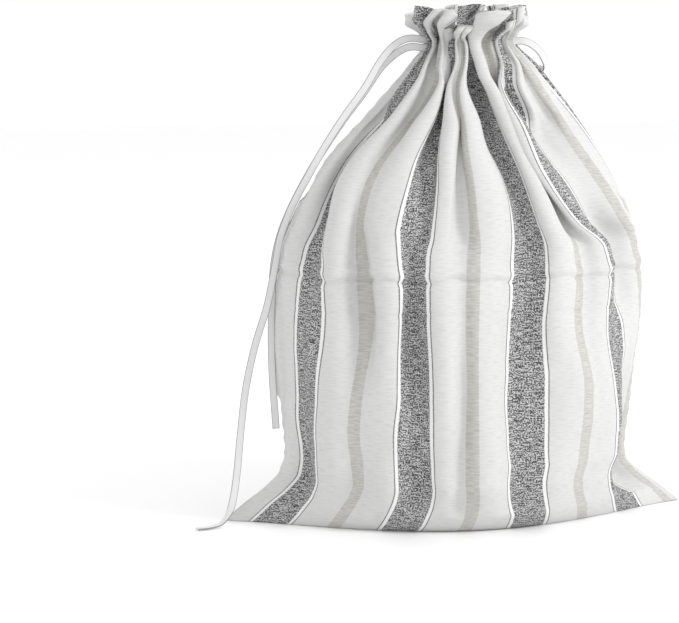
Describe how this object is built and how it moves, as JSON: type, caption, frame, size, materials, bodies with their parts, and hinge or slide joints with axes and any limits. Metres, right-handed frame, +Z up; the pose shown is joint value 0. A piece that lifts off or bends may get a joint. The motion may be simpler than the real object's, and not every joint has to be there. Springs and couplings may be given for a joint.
{
  "type": "linen drawstring bread bag",
  "caption": "Soft striped linen bag that stands on its folded bottom, gathered shut at the neck by a flat drawstring tape.",
  "frame": {"origin": "on the surface the bag stands on, at the middle of its base", "axes": "+Z up, +X to the right of the front panel, the front panel faces -Y"},
  "size_m": [0.3398, 0.1679, 0.342],
  "materials": {
    "striped_linen": "plain linen weave, warm white with charcoal and greige woven stripes",
    "cotton_tape": "flat white cotton tape, matt"
  },
  "bodies": {
    "root": {"bag_cloth": "striped_linen", "tape_tail_left": "cotton_tape", "tape_tail_back": "cotton_tape", "tape_loop_right": "cotton_tape"}
  },
  "joints": []
}
